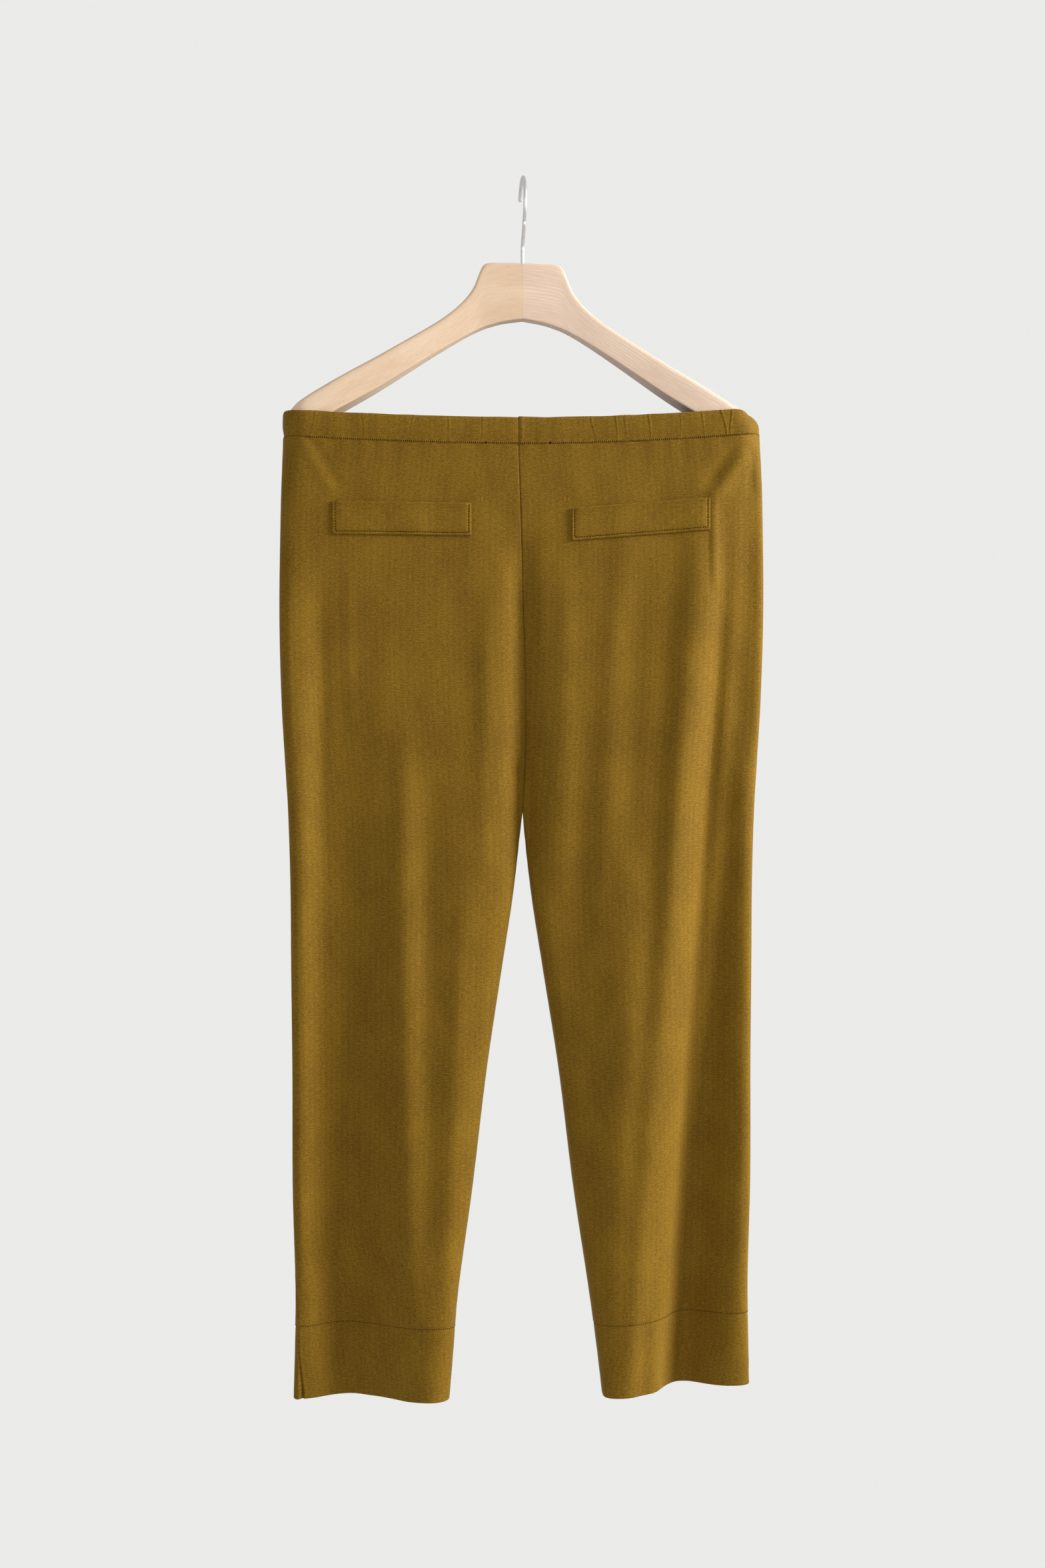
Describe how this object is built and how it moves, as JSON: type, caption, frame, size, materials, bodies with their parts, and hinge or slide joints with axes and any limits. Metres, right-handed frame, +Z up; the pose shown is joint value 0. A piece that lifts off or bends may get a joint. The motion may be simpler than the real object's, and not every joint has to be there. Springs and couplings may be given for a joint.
{
  "type": "cropped jersey trousers on wooden hanger",
  "caption": "Pull-on cropped jersey trousers with an elastic waistband, back welts and side slits at the hem, hanging by the waist on a wide-shouldered wooden hanger.",
  "frame": {"origin": "inside top of the hanger's hook, where it rests on a rail", "axes": "+Z up, +X towards the wearer's right leg, +Y from the back of the trousers towards their front"},
  "size_m": [0.462, 0.0845, 1.1603],
  "materials": {
    "jersey": "fine melange jersey, soft sheen",
    "waistband": "the same jersey over elastic",
    "wood": "pale beech, satin varnish",
    "steel": "drawn wire"
  },
  "bodies": {
    "root": {"back_left": "jersey", "back_right": "jersey", "front_left": "jersey", "front_right": "jersey", "welt_left": "jersey", "welt_right": "jersey", "waistband": "waistband", "hanger_left": "wood", "hanger_right": "wood", "hook": "steel"}
  },
  "joints": []
}
